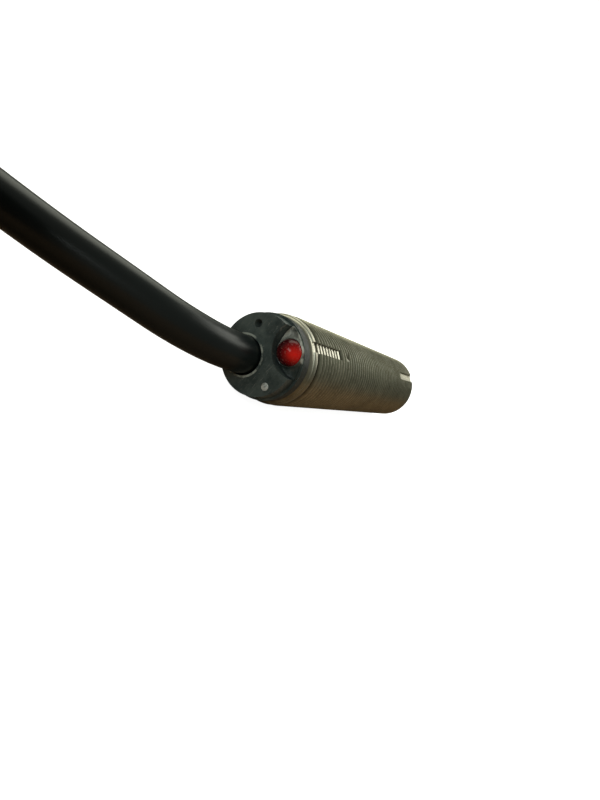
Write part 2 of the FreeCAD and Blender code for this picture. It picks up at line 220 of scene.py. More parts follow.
class Recipe:
    """A node material under construction."""

    def __init__(self, name):
        self.material = bpy.data.materials.new(name)
        self.material.use_nodes = True
        self.tree = self.material.node_tree
        self.shader = self.tree.nodes["Principled BSDF"]
        self.coordinates = self.add("ShaderNodeTexCoord").outputs["Object"]

    def add(self, kind, **settings):
        node = self.tree.nodes.new(kind)
        for key, value in settings.items():
            setattr(node, key, value)
        return node

    def join(self, source, target):
        self.tree.links.new(source, target)

    def fixed(self, **sockets):
        for key, value in sockets.items():
            self.shader.inputs[key.replace("_", " ")].default_value = value
        return self

    def stretched(self, scale):
        mapping = self.add("ShaderNodeMapping")
        mapping.inputs["Scale"].default_value = scale
        self.join(self.coordinates, mapping.inputs["Vector"])
        return mapping.outputs["Vector"]

    def noise(self, scale, detail=4.0, roughness=0.55, stretch=(1, 1, 1), distortion=0.0):
        """Noise at so many features per metre."""
        node = self.add("ShaderNodeTexNoise")
        node.inputs["Scale"].default_value = scale
        node.inputs["Detail"].default_value = detail
        node.inputs["Roughness"].default_value = roughness
        node.inputs["Distortion"].default_value = distortion
        self.join(self.stretched(stretch), node.inputs["Vector"])
        return node.outputs["Fac"]

    def ring(self, at, radius, half_width):
        """1 on a ring about a line along the barrel, fading to 0. Millimetres from the axis."""
        flat = self.add("ShaderNodeVectorMath", operation="SUBTRACT")
        self.join(self.stretched((1, 0, 1)), flat.inputs[0])
        flat.inputs[1].default_value = (at[0] * MM, 0, (AXIS_Z + at[1]) * MM)
        length = self.add("ShaderNodeVectorMath", operation="LENGTH")
        self.join(flat.outputs["Vector"], length.inputs[0])
        away = self.maths("ABSOLUTE", self.maths("SUBTRACT", length.outputs["Value"], radius * MM))
        share = self.maths("DIVIDE", away, half_width * MM)
        return self.ramp(share, [(0.5, 1.0), (1.0, 0.0)])

    def attribute(self, name):
        return self.add("ShaderNodeAttribute", attribute_name=name).outputs["Fac"]

    def ramp(self, source, stops):
        """Map 0 to 1 onto grey values."""
        node = self.add("ShaderNodeValToRGB")
        elements = node.color_ramp.elements
        while len(elements) < len(stops):
            elements.new(0.5)
        for element, (position, value) in zip(elements, stops):
            element.position = position
            element.color = (value, value, value, 1.0)
        self.join(source, node.inputs["Fac"])
        return node.outputs["Color"]

    def mix(self, factor, first, second):
        node = self.add("ShaderNodeMix", data_type="RGBA")
        sockets = (node.inputs["Factor"], node.inputs[6], node.inputs[7])
        for socket, value in zip(sockets, (factor, first, second)):
            if isinstance(value, bpy.types.NodeSocket):
                self.join(value, socket)
            elif isinstance(value, tuple):
                socket.default_value = (*value, 1.0)
            else:
                socket.default_value = value
        return node.outputs[2]

    def maths(self, operation, first, second=0.0):
        node = self.add("ShaderNodeMath", operation=operation)
        for socket, value in zip(node.inputs, (first, second)):
            if isinstance(value, bpy.types.NodeSocket):
                self.join(value, socket)
            else:
                socket.default_value = value
        return node.outputs["Value"]

    def colour(self, source):
        self.join(source, self.shader.inputs["Base Color"])
        return self

    def rough(self, source, low, high):
        scaled = self.add("ShaderNodeMapRange")
        scaled.inputs["To Min"].default_value = low
        scaled.inputs["To Max"].default_value = high
        self.join(source, scaled.inputs["Value"])
        self.join(scaled.outputs["Result"], self.shader.inputs["Roughness"])

    def bump(self, heights, strength=0.3):
        """Bumps from (height source, depth in mm) pairs."""
        normal = None
        for source, depth in heights:
            node = self.add("ShaderNodeBump")
            node.inputs["Strength"].default_value = strength
            node.inputs["Distance"].default_value = depth * MM
            self.join(source, node.inputs["Height"])
            if normal is not None:
                self.join(normal, node.inputs["Normal"])
            normal = node.outputs["Normal"]
        self.join(normal, self.shader.inputs["Normal"])


def moulded(name, colour, light, rough=(0.4, 0.6), grain=9000.0):
    """Moulded plastic: faint mottling and fine grain."""
    recipe = Recipe(name)
    cloud = recipe.noise(420.0, 5.0)
    base = recipe.mix(recipe.ramp(cloud, [(0.35, 0.0), (0.7, 1.0)]), colour, light)
    recipe.colour(base).rough(recipe.noise(1500.0, 3.0), *rough)
    recipe.bump([(recipe.noise(grain, 2.0), 0.02), (cloud, 0.05)], 0.25)
    return recipe.material


def worn_cap_plastic():
    """Black moulding gone dusty grey: cloudy and scratched, with a pale ring on the lip round the cable's
    hole that is partly rubbed wear and partly a painted highlight.
    """
    recipe = Recipe("black_pbt").fixed(Specular_IOR_Level=0.5)
    cloud = recipe.ramp(recipe.noise(260.0, 6.0, 0.62), [(0.36, 0.0), (0.66, 1.0)])
    base = recipe.mix(cloud, (0.045, 0.066, 0.064), (0.175, 0.212, 0.195))
    dust = recipe.ramp(recipe.noise(3600.0, 3.0), [(0.60, 0.0), (0.74, 0.6)])
    base = recipe.mix(dust, base, (0.24, 0.26, 0.23))
    dashes = recipe.ramp(recipe.noise(1500.0, 2.0, 0.5, (3.2, 1.0, 0.5), 0.6), [(0.63, 0.0), (0.66, 0.6)])
    patch = recipe.ramp(recipe.noise(330.0, 2.0), [(0.46, 0.0), (0.56, 1.0)])
    base = recipe.mix(recipe.maths("MULTIPLY", dashes, patch), base, (0.30, 0.32, 0.29))
    # pale ring on the lip: partly rubbed wear, partly a painted highlight, broken up by chips
    lip_wear_and_highlight = recipe.ring(CABLE_AT, CABLE_HOLE_R + 0.14, 0.17)
    chips = recipe.ramp(recipe.noise(620.0, 4.0), [(0.41, 0.0), (0.52, 1.0)])
    base = recipe.mix(recipe.maths("MULTIPLY", lip_wear_and_highlight, chips), base, (0.62, 0.65, 0.56))
    recipe.colour(base).rough(recipe.noise(1500.0, 3.0), 0.38, 0.58)
    recipe.bump([(recipe.noise(7000.0, 2.0), 0.02), (cloud, 0.05), (dashes, 0.012)], 0.3)
    return recipe.material


def metal(name, colour, light):
    """Plain metal with tarnish clouds and fine grain."""
    recipe = Recipe(name).fixed(Metallic=1.0)
    cloud = recipe.noise(500.0, 5.0)
    recipe.colour(recipe.mix(recipe.ramp(cloud, [(0.35, 0.0), (0.7, 1.0)]), colour, light))
    recipe.rough(recipe.noise(2500.0, 3.0, 0.6), 0.25, 0.4)
    recipe.bump([(recipe.noise(3500.0, 3.0, 0.6), 0.01)], 0.3)
    return recipe.material


def barrel_metal():
    """Dull nickel plate: painted shade in the thread's roots, crests paler with rubbed wear and a painted
    highlight, bright where milled, and painted highlights on the collar and the dent.
    """
    recipe = Recipe("nickel_barrel").fixed(Metallic=1.0)
    cloud = recipe.ramp(recipe.noise(180.0, 6.0, 0.6), [(0.35, 0.0), (0.68, 1.0)])
    plate = recipe.mix(cloud, (0.35, 0.34, 0.25), (0.50, 0.475, 0.35))
    grime = recipe.ramp(recipe.noise(900.0, 5.0, 0.65), [(0.45, 0.0), (0.75, 1.0)])
    plate = recipe.mix(recipe.maths("MULTIPLY", grime, 0.5), plate, (0.17, 0.155, 0.105))
    # painted shade in the thread's roots, darkest where the tone is lowest
    root = recipe.ramp(recipe.attribute("crest"), [(0.15, 1.0), (0.85, 0.0)])
    plate = recipe.mix(recipe.maths("MULTIPLY", root, 0.92), plate, (0.050, 0.046, 0.032))
    # paler crests: rubbed wear and a painted highlight
    crest_rub_and_highlight = recipe.ramp(recipe.noise(2600.0, 3.0, 0.6, (1, 4, 1)), [(0.42, 0.0), (0.6, 1.0)])
    crest = recipe.ramp(recipe.attribute("crest"), [(0.86, 0.0), (0.98, 1.0)])
    crest_rub_and_highlight = recipe.maths("MULTIPLY", recipe.maths("MULTIPLY", crest_rub_and_highlight, crest), 0.75)
    plate = recipe.mix(crest_rub_and_highlight, plate, (0.66, 0.63, 0.50))
    # bright bare cut metal on the slots' flats, with painted highlights there and on the collar and the
    # dent
    plate = recipe.mix(recipe.attribute("cut_and_painted_highlight"), plate, (0.80, 0.77, 0.65))
    recipe.colour(plate)
    recipe.rough(recipe.noise(1600.0, 4.0, 0.6, (1, 5, 1)), 0.28, 0.46)
    recipe.bump([(recipe.noise(5200.0, 3.0, 0.6, (1, 6, 1)), 0.012), (grime, 0.01)], 0.35)
    return recipe.material


def lens_glass():
    """Red cast lens with painted light: a painted bright patch and painted glow on the side away from the
    cable, painted shade in wine-dark red on the other, with pale specks that are partly flecks and partly
    a painted highlight.
    """
    recipe = Recipe("red_lens")
    recipe.fixed(IOR=1.45, Specular_IOR_Level=0.22, Coat_Weight=0.22, Coat_Roughness=0.02)
    # the emission is a painted glow, not a lit lamp
    recipe.fixed(Emission_Strength=0.45)
    # painted light: a bright patch standing in for light through the dome, fading into painted shade
    across = recipe.ramp(recipe.attribute("painted_light"), [(0.12, 0.0), (0.45, 0.22), (0.78, 0.75), (1.0, 1.0)])
    cloud = recipe.noise(1100.0, 4.0)
    painted_shade_red = recipe.mix(cloud, (0.050, 0.003, 0.005), (0.130, 0.006, 0.011))
    painted_lit_red = recipe.mix(cloud, (0.85, 0.012, 0.008), (1.0, 0.025, 0.012))
    base = recipe.mix(across, painted_shade_red, painted_lit_red)
    # pale specks on the painted shade side: partly flecks in the cast, partly a painted highlight
    speck_and_glint = recipe.ramp(recipe.noise(4200.0, 2.0), [(0.56, 0.0), (0.65, 0.6)])
    speck_and_glint = recipe.maths("MULTIPLY", speck_and_glint, recipe.maths("SUBTRACT", 1.0, across))
    recipe.colour(recipe.mix(speck_and_glint, base, (0.46, 0.17, 0.15)))
    # painted glow, strongest in the painted light patch
    painted_glow = recipe.mix(across, (0.0, 0.0, 0.0), (0.30, 0.004, 0.002))
    recipe.join(painted_glow, recipe.shader.inputs["Emission Color"])
    recipe.rough(recipe.noise(2500.0, 3.0), 0.12, 0.26)
    recipe.bump([(recipe.noise(2800.0, 3.0), 0.012)], 0.3)
    return recipe.material


def plug_resin():
    """Pale, cloudy, glossy cast resin with streaks and small bubbles."""
    recipe = Recipe("plug_resin").fixed(Coat_Weight=0.4, Coat_Roughness=0.15)
    cloud = recipe.noise(1100.0, 6.0, 0.65, (1.0, 1.0, 0.55), 1.2)
    share = recipe.ramp(cloud, [(0.33, 0.0), (0.50, 1.0)])
    recipe.colour(recipe.mix(share, (0.14, 0.16, 0.14), (0.90, 0.92, 0.86)))
    recipe.rough(recipe.noise(1200.0, 4.0), 0.2, 0.45)
    recipe.bump([(recipe.noise(900.0, 4.0), 0.12), (recipe.noise(4200.0, 2.0), 0.03)], 0.5)
    return recipe.material


POOL_PALE_AT = (1.6, 5.0)        # the resin is pale round here, as (x, z) from the axis
POOL_PALE_REACH = 4.0
POOL_GLINT_AT = (4.6, 3.1)        # a small painted glint beside the lens, drawn as a pale spot
POOL_GLINT_REACH = 0.45
POOL_CRUST = (0.30, 0.70)        # how far outside the lens the crust's middle is, and its half width


def pool_resin():
    """Resin in the lens pocket: pale lumps above the lens, smooth dark green-grey below it, and a painted
    glint beside the lens.
    """
    recipe = Recipe("pool_resin").fixed(Coat_Weight=0.4, Coat_Roughness=0.12)
    lumps = recipe.ramp(recipe.noise(650.0, 5.0, 0.62, (1.0, 1.0, 0.8), 1.0), [(0.38, 0.0), (0.56, 1.0)])
    crust = recipe.ring(LENS_AT, LENS_R + POOL_CRUST[0], POOL_CRUST[1])
    above = recipe.ring(POOL_PALE_AT, 0.0, POOL_PALE_REACH)
    # a painted glint beside the lens, drawn as a small pale spot
    painted_glint = recipe.ring(POOL_GLINT_AT, 0.0, POOL_GLINT_REACH)
    broken = recipe.maths("MULTIPLY", crust, recipe.ramp(lumps, [(0.0, 0.4), (1.0, 1.0)]))
    near = recipe.maths("MAXIMUM", broken, recipe.maths("MULTIPLY", lumps, 0.7))
    pale = recipe.maths("ADD", recipe.maths("MULTIPLY", near, above), painted_glint)
    dark = recipe.mix(lumps, (0.030, 0.044, 0.040), (0.060, 0.078, 0.070))
    recipe.colour(recipe.mix(recipe.maths("MINIMUM", pale, 1.0), dark, (0.66, 0.66, 0.58)))
    recipe.rough(recipe.noise(1200.0, 4.0), 0.2, 0.45)
    recipe.bump([(lumps, 0.10), (recipe.noise(4200.0, 2.0), 0.03)], 0.6)
    return recipe.material


def jacket_pvc():
    """Black PVC jacket: satin, faintly green-grey, with specks of dust."""
    recipe = Recipe("cable_jacket").fixed(Specular_IOR_Level=0.55)
    cloud = recipe.noise(150.0, 4.0)
    base = recipe.mix(cloud, (0.0050, 0.0090, 0.0092), (0.0110, 0.0165, 0.0160))
    dust = recipe.ramp(recipe.noise(5200.0, 2.0), [(0.70, 0.0), (0.78, 0.25)])
    recipe.colour(recipe.mix(dust, base, (0.06, 0.065, 0.055)))
    recipe.rough(recipe.noise(700.0, 4.0), 0.26, 0.38)
    recipe.bump([(recipe.noise(260.0, 3.0), 0.06), (recipe.noise(6000.0, 2.0), 0.008)], 0.3)
    return recipe.material


def give(piece, material):
    piece.data.materials.clear()
    piece.data.materials.append(material)


# ---- barrel

def smooth_step(x):
    x = min(max(x, 0.0), 1.0)
    return x * x * (3 - 2 * x)


def keyway_cut(s):
    """How deep the milled slots are at s, running out over a cutter's radius."""
    deepest = 0.0
    for start, end in (KEYWAY_REAR, KEYWAY_FRONT):
        if start <= s <= end:
            run_out = min(1.0, (end - s) / KEYWAY_RUN_OUT)
            deepest = max(deepest, KEYWAY_DEPTH * math.sqrt(max(0.0, 1 - (1 - run_out) ** 2)))
    return deepest


def envelope(s):
    """The turned outline that the thread is cut into."""
    root = THREAD_R - THREAD_DEPTH
    lead_in = root + 1.2 * (s - THREAD_START_S)
    lead_out = root - 0.1 + 1.6 * (BARREL_END_S - s)
    return min(THREAD_R, lead_in, lead_out)


THREAD_OUTLINE = (  # share of the pitch, share of the thread's depth
    (0.00, 0.00), (0.10, 0.00), (0.22, 0.22), (0.44, 0.86),
    (0.50, 0.98), (0.56, 1.00), (0.62, 0.98), (0.68, 0.86), (0.90, 0.22),
)


def column_angles():
    """Angles round the barrel, with close columns at the keyway's two walls."""
    half = math.degrees(math.asin(KEYWAY_WIDTH / 2 / THREAD_R))
    wall = 0.12
    inside = [half * k / 3 for k in (-2, -1, 0, 1, 2)]
    near = [-half - wall, -half + wall, *inside, half - wall, half + wall]
    count = 150
    spare = 360 - 2 * (half + wall)
    rest = [half + wall + spare * k / count for k in range(1, count)]
    return [a + KEYWAY_ANGLE for a in near + rest], half


COLLAR_LOW_R = 5.5        # unthreaded metal further out than this is the collar
COLLAR_PAINTED_HIGHLIGHT = (0.5, 12.0, 35.0)   # how bright the collar's painted highlight is, then where past the keyway it fades, and over what angle
PLAIN_TONE = 0.74         # the tone of metal without a thread, 0 for a root and 1 for a crest
THREAD_TONE_EVENING = (0.55, 20.0, 25.0)        # share of the thread's tone evened out towards the front, from what s, and over what length
EVENED_TONE = 0.62
# bare cut metal with a painted highlight on the rear and front slots' flats, the rear one brighter; a
# painted highlight on the dent's one side
REAR_CUT_AND_HIGHLIGHT, FRONT_CUT_AND_HIGHLIGHT, PUNCH_PAINTED_HIGHLIGHT = 1.0, 0.7, 0.9


def barrel_rows():
    """Every row round the barrel as (kind, s, radius), and the thread's first row and the one past it."""
    root = THREAD_R - THREAD_DEPTH
    collar = [
        (9.0, BORE_R), (BARREL_START_S + 0.02, BORE_R), (BARREL_START_S, BORE_R + 0.04),
        (BARREL_START_S, 5.30), (BARREL_START_S + 0.03, 5.36), (BARREL_START_S + 0.26, 5.60),
        (BARREL_START_S + 0.32, 5.65), (BARREL_START_S + 0.40, 5.68), (BARREL_START_S + 0.56, 5.70),
        (BARREL_START_S + 0.60, 5.58), (BARREL_START_S + 0.68, 5.58), (BARREL_START_S + 0.72, 5.76),
        (BARREL_START_S + 0.78, 5.82), (4.80, 5.92), (4.88, 5.91), (4.96, 5.86), (5.00, 5.76),
        (5.03, root + 0.03), (5.08, root), (5.50, root), (THREAD_START_S, root),
    ]
    front = [
        (BARREL_END_S, root - 0.12), (BARREL_END_S + 0.02, root - 0.16),
        (BARREL_END_S + 0.02, BORE_R + 0.04), (BARREL_END_S, BORE_R), (47.0, BORE_R),
    ]
    rows = [("plain", s, r) for s, r in collar]
    for turn in range(-1, int(LENGTH)):
        for along, height in THREAD_OUTLINE:
            s = THREAD_START_S + (turn + along) * PITCH
            rows.append(("thread", s, root + height * THREAD_DEPTH))
    last = len(rows)
    rows += [("plain", s, r) for s, r in front]
    return rows, len(collar), last


def barrel_point(row, angle, first_angle, half):
    """Where one point of the skin is as (s, radius), its tone, and its share of bare cut metal and
    painted highlight.
    """
    kind, s, r = row
    root = THREAD_R - THREAD_DEPTH
    cut_and_highlight = 0.0
    away = (angle - KEYWAY_ANGLE + 180) % 360 - 180
    if kind == "thread":
        s += PITCH * (angle - first_angle) / 360
        s = min(max(s, THREAD_START_S), BARREL_END_S)
        r = min(r, envelope(s))
    elif r > COLLAR_LOW_R:
        # a painted highlight on the collar near the keyway's side, fading round the barrel
        bright, fade_from, fade_over = COLLAR_PAINTED_HIGHLIGHT
        cut_and_highlight = bright * (1 - smooth_step((away - fade_from) / fade_over))
    cut = keyway_cut(s)
    if cut and abs(away) < half and r > BORE_R + 0.3:
        flat = (THREAD_R - cut) / math.cos(math.radians(away))
        if r > flat:
            # bare cut metal on the flat, with a painted highlight, stronger on the rear slot
            cut_and_highlight = REAR_CUT_AND_HIGHLIGHT if s < LENGTH / 2 else FRONT_CUT_AND_HIGHLIGHT
            r = flat
    punch = math.hypot(s - PUNCH_S, THREAD_R * math.radians(away))
    if kind == "thread" and punch < PUNCH_R:
        r -= PUNCH_DEPTH * (1 - smooth_step(punch / PUNCH_R))
        # a painted highlight on one side of the dent only
        cut_and_highlight = PUNCH_PAINTED_HIGHLIGHT if away > 2 else 0.0
    tone = (r - root) / THREAD_DEPTH if kind == "thread" else PLAIN_TONE
    share, evening_from, evening_over = THREAD_TONE_EVENING
    evened = share * smooth_step((s - evening_from) / evening_over)
    tone = min(1.0, max(0.0, tone * (1 - evened) + EVENED_TONE * evened))
    return s, r, tone, cut_and_highlight


def build_barrel():
    """One closed skin: bore, turned collar, helical thread with milled keyways, front chamfer."""
    angles, half = column_angles()
    rows, first, last = barrel_rows()
    verts, crest, cut_and_painted_highlight = [], [], []
    for row in rows:
        for angle in angles:
            s, r, tone, cut_and_highlight = barrel_point(row, angle, angles[0], half)
            verts.append(place(s, r, angle))
            crest.append(tone)
            cut_and_painted_highlight.append(cut_and_highlight)
    count = len(angles)

    def beside(row):
        """The row that a row runs into after one turn of the helix."""
        return min(row + len(THREAD_OUTLINE), last) if first <= row < last else row

    faces = []
    for row in range(len(rows)):
        onward = (row + 1) % len(rows)
        for step in range(count - 1):
            a, b = row * count + step, onward * count + step
            faces.append((a, a + 1, b + 1, b))
        a, b = row * count + count - 1, onward * count + count - 1
        faces.append((a, beside(row) * count, beside(onward) * count, b))
    mesh = bpy.data.meshes.new("barrel_skin")
    mesh.from_pydata([tuple(v) for v in verts], [], faces)
    for name, values in (("crest", crest), ("cut_and_painted_highlight", cut_and_painted_highlight)):
        layer = mesh.attributes.new(name, "FLOAT", "POINT")
        layer.data.foreach_set("value", values)
    tidy_mesh(mesh)
    soften(mesh, 50)
    barrel = new_object("barrel_skin", mesh)
    give(barrel, barrel_metal())
    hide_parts("threaded_barrel")


# ---- rear cap, lens and resins

def build_rear_cap(plastic):
    """Boss, flange and plug in one moulding, with its holes, its pocket and a lip round the cable."""
    lip_height, lip_width = CABLE_LIP
    cap = rod(0, FLANGE_S + 0.1, BOSS_R, segments=160)
    cap.name = "rear_cap_moulding"
    combine(cap, rod(-1, FLANGE_S, POCKET_R, POCKET_AT, 160), "DIFFERENCE")
    combine(cap, rod(FLANGE_S, BARREL_START_S - 0.12, FLANGE_R, segments=160), "UNION")
    combine(cap, rod(FLANGE_S + 0.2, PLUG_END_S, PLUG_R, segments=160), "UNION")
    combine(cap, rod(-lip_height, 0.3, CABLE_HOLE_R + lip_width, CABLE_AT, 128), "UNION")
    combine(cap, rod(-1, CAP_HOLLOW_S, CABLE_HOLE_R, CABLE_AT, 128), "DIFFERENCE")
    combine(cap, rod(-1, CAP_HOLLOW_S, LENS_STEM_R + 0.03, LENS_AT), "DIFFERENCE")
    combine(cap, rod(CAP_HOLLOW_S, PLUG_END_S + 1, CAP_HOLLOW_R), "DIFFERENCE")
    for spot in (VENT_AT, PLUGHOLE_AT):
        combine(cap, rod(-1, SMALL_HOLE_DEPTH, SMALL_HOLE_R, spot, 40), "DIFFERENCE")
    rounded(cap, CAP_EDGE_R)
    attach(cap, "root")
    give(cap, plastic)
    # the flange and plug get a darker copy of the cap's plastic: painted shade
    flange_shade_copy = moulded("flange_pbt_painted_shade", (0.020, 0.026, 0.022), (0.046, 0.054, 0.046))
    cap.data.materials.append(flange_shade_copy)
    for polygon in cap.data.polygons:
        if polygon.center.y > (REAR_Y + FLANGE_S + 0.02) * MM:
            polygon.material_index = 1
    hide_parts("rear_cap")


PAINTED_LIGHT_AT = (1.10, 0.50)     # the middle of the lens's painted patch of light, from the lens's middle
PAINTED_LIGHT_REACH = 2.0


def build_lens():
    """Domed lens with a small collar, and the stem behind it."""
    outline = [
        (LENS_STEM_END_S, 0.0), (LENS_STEM_END_S, LENS_STEM_R), (FLANGE_S + 0.05, LENS_STEM_R),
        (FLANGE_S, LENS_R), (1.80, LENS_R), (1.76, LENS_R - 0.02), (1.73, LENS_DOME_R + 0.01),
    ]
    steps = 24
    for step in range(steps + 1):
        turn = math.pi / 2 * step / steps
        outline.append((LENS_DOME_S - LENS_DOME_R * math.sin(turn), LENS_DOME_R * math.cos(turn)))
    lens = lathe("indicator_dome", outline, LENS_AT, 96, closed=False)
    # each point's share of the lens's painted light patch
    painted_light = lens.data.attributes.new("painted_light", "FLOAT", "POINT")
    for vertex, value in zip(lens.data.vertices, painted_light.data):
        x = vertex.co.x / MM - LENS_AT[0] - PAINTED_LIGHT_AT[0]
        z = vertex.co.z / MM - AXIS_Z - LENS_AT[1] - PAINTED_LIGHT_AT[1]
        value.value = max(0.0, 1 - math.hypot(x, z) / PAINTED_LIGHT_REACH)
    give(lens, lens_glass())
    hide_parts("indicator_lens")


POOL_DEPTH = 0.16
POOL_LUMP = 0.05
CREEP_UP_LENS = (0.30, 0.16)     # how high the resin creeps, and how quickly that dies away
CREEP_UP_WALL = (0.14, 0.20)
POOL_EDGE = 0.08                 # the width over which the pool thins to nothing


def build_pocket_resin():
    """A shallow lumpy pool on the pocket's floor, creeping up the lens and the wall."""
    rings, spokes = 26, 96
    verts, faces = [], []
    edge_r = FLANGE_R - 0.12
    for spoke in range(spokes):
        turn = 2 * math.pi * spoke / spokes
        direction = (math.sin(turn), math.cos(turn))
        reach = pool_reach(direction, edge_r)
        for ring in range(rings):
            share = ring / (rings - 1)
            radius = LENS_R - 0.1 + (reach - LENS_R + 0.1) * share
            x = LENS_AT[0] + radius * direction[0]
            z = LENS_AT[1] + radius * direction[1]
            gap = max(0.0, radius - LENS_R)
            wall = max(0.0, reach - radius)
            creep = CREEP_UP_LENS[0] * math.exp(-gap / CREEP_UP_LENS[1])
            creep += CREEP_UP_WALL[0] * math.exp(-wall / CREEP_UP_WALL[1])
            lump = POOL_LUMP * math.sin(3.1 * x + 1.3) * math.sin(2.7 * z + 0.4)
            depth = (POOL_DEPTH + creep + lump) * smooth_step(wall / POOL_EDGE)
            verts.append(place(FLANGE_S - depth, 0, 0) + Vector((x * MM, 0, z * MM)))
    for spoke in range(spokes):
        onward = (spoke + 1) % spokes
        for ring in range(rings - 1):
            a, b = spoke * rings + ring, onward * rings + ring
            faces.append((a, a + 1, b + 1, b))
    mesh = mesh_from("lens_resin_pool", verts, faces, 60)
    pool = new_object("lens_resin_pool", mesh)
    give(pool, pool_resin())
    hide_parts("lens_pocket_resin")


def pool_reach(direction, edge_r):
    """How far the pocket's floor goes from the lens's centre in a direction."""
    reach = 0.0
    step = 0.02
    while reach < 9:
        x = LENS_AT[0] + (reach + step) * direction[0]
        z = LENS_AT[1] + (reach + step) * direction[1]
        if math.hypot(x, z) > edge_r or math.hypot(x - POCKET_AT[0], z - POCKET_AT[1]) > POCKET_R:
            break
        reach += step
    return max(reach, LENS_R + 0.02)


def build_fill_plug():
    """A drop of pale resin in the fill hole, standing a little proud."""
    outline = [(SMALL_HOLE_DEPTH, 0.0), (SMALL_HOLE_DEPTH, SMALL_HOLE_R), (0.10, SMALL_HOLE_R)]
    for step in range(13):
        turn = math.pi / 2 * step / 12
        outline.append((0.08 - 0.14 * math.sin(turn), (SMALL_HOLE_R - 0.01) * math.cos(turn)))
    plug = lathe("fill_hole_resin", outline, PLUGHOLE_AT, 40, closed=False)
    foot = (REAR_Y + 0.1) * MM
    for vertex in plug.data.vertices:
        wobble = 1 + 0.06 * math.sin(vertex.co.x * 9000) * math.cos(vertex.co.z * 8000)
        if vertex.co.y < foot:
            vertex.co.y = foot + (vertex.co.y - foot) * wobble
    give(plug, plug_resin())
    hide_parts("fill_hole_plug")


def build_face_cap(plastic):
    """The front cup, with a rounded rim and a faint moulding ring on its face."""
    inner_s = LENGTH - FACE_THICKNESS
    outline = [
        (FACE_SKIRT_START_S, FACE_SKIRT_BORE_R), (FACE_SKIRT_START_S, PLUG_R),
        (LENGTH - 0.16, PLUG_R), (LENGTH - 0.05, PLUG_R - 0.04), (LENGTH, PLUG_R - 0.16),
        (LENGTH, 3.10), (LENGTH - 0.05, 3.04), (LENGTH - 0.05, 2.90), (LENGTH, 2.84),
        (LENGTH, 0.0), (inner_s, 0.0), (inner_s, FACE_SKIRT_BORE_R),
    ]
    cap = lathe("sensing_face_moulding", outline, segments=128)
    give(cap, plastic)
    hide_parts("sensing_face_cap")


# ---- cable

CABLE_ROUTE = [
    (-1.35, -24.25, 4.75),
    (-1.35, -30.55, 4.75),
    (-4.4, -37.25, 4.8),
    (-9.0, -41.85, 4.9),
    (-16.4, -47.95, 4.75),
    (-27.4, -54.75, 4.7),
    (-39.3, -65.2, 3.2),
    (-49.0, -79.0, 2.4),
]
ENTRY_ANGLE = 145.0
TAIL_END = 95.0
CHANGE_SPAN = 60.0        # degrees over which the cable moves to its next turn
FIRST_CHANGE = 330.0      # degrees wound before it first does
FULL_TURN = 360.0
CLIMB_TURN = 300.0        # how far it goes in a place that it reaches or leaves by climbing a layer
POINTS_PER_TURN = 18
TIE_LIFT_SPAN = 14.0      # degrees from the tie over which the coil settles off its strap


def coil_point(angle, radius, height):
    turn = math.radians(angle)
    x = COIL_CENTRE[0] + radius * math.cos(turn)
    y = COIL_CENTRE[1] + radius * math.sin(turn)
    return (x, y, height)


def coil_places():
    """Each turn's radius and height in winding order, and the angle at which it is left."""
    seats = []
    for layer in range(COIL_LAYERS):
        columns = COIL_COLUMN_R[::-1] if layer % 2 == 0 else COIL_COLUMN_R
        seats += [(radius, CABLE_R + layer * COIL_STEP) for radius in columns]
    leave = [FIRST_CHANGE]
    for index in range(1, len(seats) - 1):
        climbs = seats[index + 1][1] != seats[index - 1][1]
        leave.append(leave[-1] + (CLIMB_TURN if climbs else FULL_TURN))
    return seats, leave


def coil_turns():
    """The coil's points: level turns that shift sideways or climb over a short span."""
    seats, leave = coil_places()
    step = 360.0 / POINTS_PER_TURN
    inside = math.cos(math.radians(step / 2))
    end = leave[-1] + CHANGE_SPAN / 2 + (TAIL_END - ENTRY_ANGLE - leave[-1] - CHANGE_SPAN / 2) % 360
    points = []
    turned = step
    while turned < end + step / 2:
        radius, height = seats[0]
        for centre, (next_radius, next_height) in zip(leave, seats[1:]):
            share = smooth_step((turned - centre) / CHANGE_SPAN + 0.5)
            radius += (next_radius - radius) * share
            height += (next_height - height) * share
        angle = ENTRY_ANGLE + turned
        from_tie = (angle - TIE_ANGLE + 180) % 360 - 180
        pinch = math.exp(-((from_tie / TIE_LIFT_SPAN) ** 2))
        height += pinch * TIE_THICKNESS * (1 - (height - CABLE_R) / (COIL_TOP - 2 * CABLE_R))
        points.append(coil_point(angle, radius / inside, height))
        turned += step
    return points


def build_cable(jacket):
    """The whole cord as one curve: out of the cap, along its route, and round the coil."""
    points = CABLE_ROUTE + coil_turns()
    curve = bpy.data.curves.new("sensor_cable", "CURVE")
    curve.dimensions = "3D"
    spline = curve.splines.new("NURBS")
    spline.points.add(len(points) - 1)
    for target, point in zip(spline.points, points):
        target.co = (point[0] * MM, point[1] * MM, point[2] * MM, 1.0)
        target.radius = CABLE_R * MM
    spline.order_u = 3
    spline.use_endpoint_u = True
    spline.resolution_u = 6
    curve.bevel_depth = 1.0  # each point's radius is the cable's own
    curve.bevel_resolution = 10
    curve.use_fill_caps = True
    cable = bpy.data.objects.new("sensor_cable", curve)
    bpy.context.scene.collection.objects.link(cable)
    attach(cable, "root")
    curve.materials.append(jacket)
    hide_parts("cable_tube", "cable_coil", "cable_tail")
    return cable


